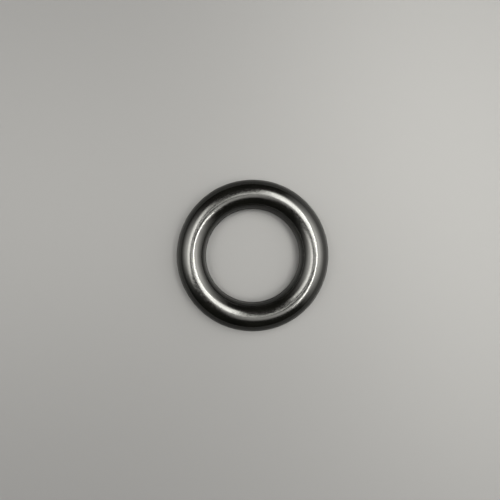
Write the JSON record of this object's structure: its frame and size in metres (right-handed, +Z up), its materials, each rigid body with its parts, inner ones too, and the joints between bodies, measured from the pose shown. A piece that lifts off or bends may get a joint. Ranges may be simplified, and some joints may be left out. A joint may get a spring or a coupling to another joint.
{
  "type": "sealing ring",
  "caption": "Black rubber sealing ring of round section, pressed in a groove round a shaft or in a bore to keep fluid or dust in or out.",
  "frame": {"origin": "centre of the ring, on its axis and in the mould's parting plane", "axes": "+Z up along the ring's axis, with the ring lying flat; X and Y are in the parting plane"},
  "size_m": [0.0162, 0.016, 0.003],
  "materials": {
    "rubber": "satin"
  },
  "bodies": {
    "root": {"sealing_ring": "rubber"}
  },
  "joints": []
}
